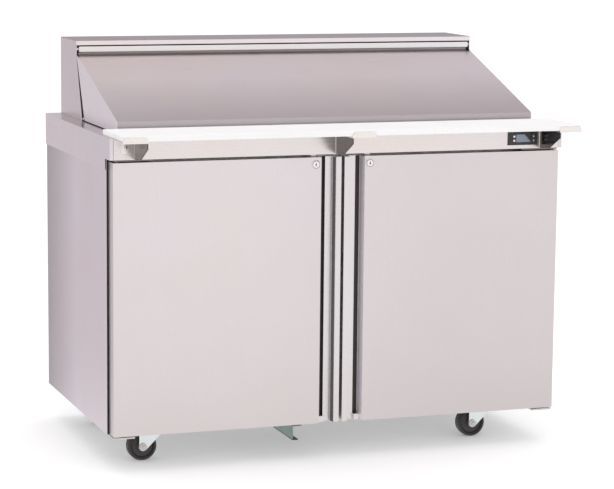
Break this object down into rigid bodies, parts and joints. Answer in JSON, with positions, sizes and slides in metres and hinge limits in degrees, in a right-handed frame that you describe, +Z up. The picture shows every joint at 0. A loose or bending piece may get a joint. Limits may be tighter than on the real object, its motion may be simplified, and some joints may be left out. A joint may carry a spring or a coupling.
{
  "type": "sandwich prep table",
  "caption": "Two-door refrigerated prep table on casters, with a sloping hinged lid over a pan well, a rear hood and a front cutting board on brackets.",
  "frame": {"origin": "on the floor, under the centre of the bounding box", "axes": "+Z up, +X to the operator's right along the doors, the operator stands at -Y"},
  "size_m": [1.219, 0.8174, 1.051],
  "materials": {
    "stainless": "brushed, satin",
    "stainless_polished": "polished",
    "galvanised": "zinc coated sheet",
    "liner_aluminium": "embossed satin",
    "foam": "cut foam",
    "door_foam": "white panel over foam",
    "board_plastic": "fine-textured white polyethylene",
    "gasket_rubber": "soft grey vinyl",
    "wheel_rubber": "black rubber",
    "zinc_steel": "bright zinc plate",
    "black_plastic": "moulded, satin",
    "display_glass": "grey-blue display window",
    "button_metal": "satin cap",
    "coil_fins": "fine fins",
    "black_paint": "semi-gloss black",
    "fan_plastic": "moulded fan",
    "shelf_coating": "epoxy-coated wire",
    "screw_steel": "stainless heads"
  },
  "bodies": {
    "cabinet": {"side_panel_left": "stainless", "side_panel_right": "stainless", "back_panel": "galvanised", "rear_grille": "galvanised", "base_pan": "galvanised", "foam_core": "foam", "inner_liner": "liner_aluminium", "face_frame": "stainless", "center_mullion": "stainless", "countertop": "stainless_polished", "control_fascia": "stainless_polished", "pan_rail": "stainless", "divider_bars": "stainless", "food_pans": "stainless_polished", "hood_housing": "stainless", "hood_cap": "stainless", "lid_hinge_rod": "zinc_steel", "board_brackets": "stainless_polished", "screws": "screw_steel", "controller_bezel": "black_plastic", "controller_display": "display_glass", "hinge_brackets": "zinc_steel", "wire_shelves": "shelf_coating", "shelf_supports": "stainless", "evaporator_coil": "coil_fins", "evaporator_housing": "liner_aluminium", "condenser_coil": "coil_fins", "condenser_shroud": "black_paint", "compressor": "black_paint", "unit_base": "galvanised", "cord_inlet": "black_plastic", "under_bracket": "galvanised", "caster_plates": "zinc_steel"},
    "door_left": {"door_left_skin": "stainless", "door_left_core": "door_foam", "door_left_gasket": "gasket_rubber", "door_left_pull": "stainless"},
    "lock_left": {"door_left_lock": "zinc_steel"},
    "door_right": {"door_right_skin": "stainless", "door_right_core": "door_foam", "door_right_gasket": "gasket_rubber", "door_right_pull": "stainless"},
    "lock_right": {"door_right_lock": "zinc_steel"},
    "lid": {"lid_skin": "stainless", "lid_liner": "door_foam"},
    "board": {"cutting_board": "board_plastic"},
    "key_power": {"button_power": "button_metal"},
    "key_set": {"button_set": "button_metal"},
    "key_up": {"button_up": "button_metal"},
    "key_down": {"button_down": "button_metal"},
    "condenser_rotor": {"condenser_fan": "fan_plastic"},
    "evaporator_rotor": {"evaporator_fan": "fan_plastic"},
    "fork_front_left": {"caster_fork_front_left": "zinc_steel"},
    "wheel_front_left": {"caster_wheel_front_left": "wheel_rubber"},
    "fork_front_right": {"caster_fork_front_right": "zinc_steel"},
    "wheel_front_right": {"caster_wheel_front_right": "wheel_rubber"},
    "fork_rear_left": {"caster_fork_rear_left": "zinc_steel"},
    "wheel_rear_left": {"caster_wheel_rear_left": "wheel_rubber"},
    "fork_rear_right": {"caster_fork_rear_right": "zinc_steel"},
    "wheel_rear_right": {"caster_wheel_rear_right": "wheel_rubber"}
  },
  "joints": [
    {"name": "door_left_hinge", "type": "hinge", "parent": "cabinet", "child": "door_left", "pos_m": [-0.587, -0.26835, 0.439], "axis": [0, 0, -1], "range_deg": [0, 110]},
    {"name": "lock_left_turn", "type": "hinge", "parent": "door_left", "child": "lock_left", "pos_m": [-0.073, -0.26235, 0.7645], "axis": [0, 1, 0], "range_deg": [0, 90]},
    {"name": "door_right_hinge", "type": "hinge", "parent": "cabinet", "child": "door_right", "pos_m": [0.587, -0.26835, 0.439], "axis": [0, 0, 1], "range_deg": [0, 110]},
    {"name": "lock_right_turn", "type": "hinge", "parent": "door_right", "child": "lock_right", "pos_m": [0.073, -0.26235, 0.7645], "axis": [0, -1, 0], "range_deg": [0, 90]},
    {"name": "lid_hinge", "type": "hinge", "parent": "cabinet", "child": "lid", "pos_m": [0, 0.23765, 1.028], "axis": [-1, 0, 0], "range_deg": [0, 114]},
    {"name": "board_lift", "type": "slide", "parent": "cabinet", "child": "board", "axis": [0, 0, 1], "range_m": [0, 0.06]},
    {"name": "button_power_press", "type": "slide", "parent": "cabinet", "child": "key_power", "axis": [0, 1, 0], "range_m": [0, 0.001], "stiffness_N_per_m": 400, "springref_m": -0.0005},
    {"name": "button_set_press", "type": "slide", "parent": "cabinet", "child": "key_set", "axis": [0, 1, 0], "range_m": [0, 0.001], "stiffness_N_per_m": 400, "springref_m": -0.0005},
    {"name": "button_up_press", "type": "slide", "parent": "cabinet", "child": "key_up", "axis": [0, 1, 0], "range_m": [0, 0.001], "stiffness_N_per_m": 400, "springref_m": -0.0005},
    {"name": "button_down_press", "type": "slide", "parent": "cabinet", "child": "key_down", "axis": [0, 1, 0], "range_m": [0, 0.001], "stiffness_N_per_m": 400, "springref_m": -0.0005},
    {"name": "condenser_fan_spin", "type": "hinge", "parent": "cabinet", "child": "condenser_rotor", "pos_m": [0.16, 0.32565, 0.222], "axis": [0, 1, 0], "continuous": true},
    {"name": "evaporator_fan_spin", "type": "hinge", "parent": "cabinet", "child": "evaporator_rotor", "pos_m": [0, 0.24965, 0.62], "axis": [0, 1, 0], "continuous": true},
    {"name": "swivel_front_left", "type": "hinge", "parent": "cabinet", "child": "fork_front_left", "pos_m": [-0.458, -0.15235, 0.084], "axis": [0, 0, 1], "continuous": true},
    {"name": "roll_front_left", "type": "hinge", "parent": "fork_front_left", "child": "wheel_front_left", "pos_m": [-0.494, -0.15235, 0.038], "axis": [0, 1, 0], "continuous": true},
    {"name": "swivel_front_right", "type": "hinge", "parent": "cabinet", "child": "fork_front_right", "pos_m": [0.458, -0.15235, 0.084], "axis": [0, 0, 1], "continuous": true},
    {"name": "roll_front_right", "type": "hinge", "parent": "fork_front_right", "child": "wheel_front_right", "pos_m": [0.422, -0.15235, 0.038], "axis": [0, 1, 0], "continuous": true},
    {"name": "swivel_rear_left", "type": "hinge", "parent": "cabinet", "child": "fork_rear_left", "pos_m": [-0.458, 0.27365, 0.084], "axis": [0, 0, 1], "continuous": true},
    {"name": "roll_rear_left", "type": "hinge", "parent": "fork_rear_left", "child": "wheel_rear_left", "pos_m": [-0.494, 0.27365, 0.038], "axis": [0, 1, 0], "continuous": true},
    {"name": "swivel_rear_right", "type": "hinge", "parent": "cabinet", "child": "fork_rear_right", "pos_m": [0.458, 0.27365, 0.084], "axis": [0, 0, 1], "continuous": true},
    {"name": "roll_rear_right", "type": "hinge", "parent": "fork_rear_right", "child": "wheel_rear_right", "pos_m": [0.422, 0.27365, 0.038], "axis": [0, 1, 0], "continuous": true}
  ]
}
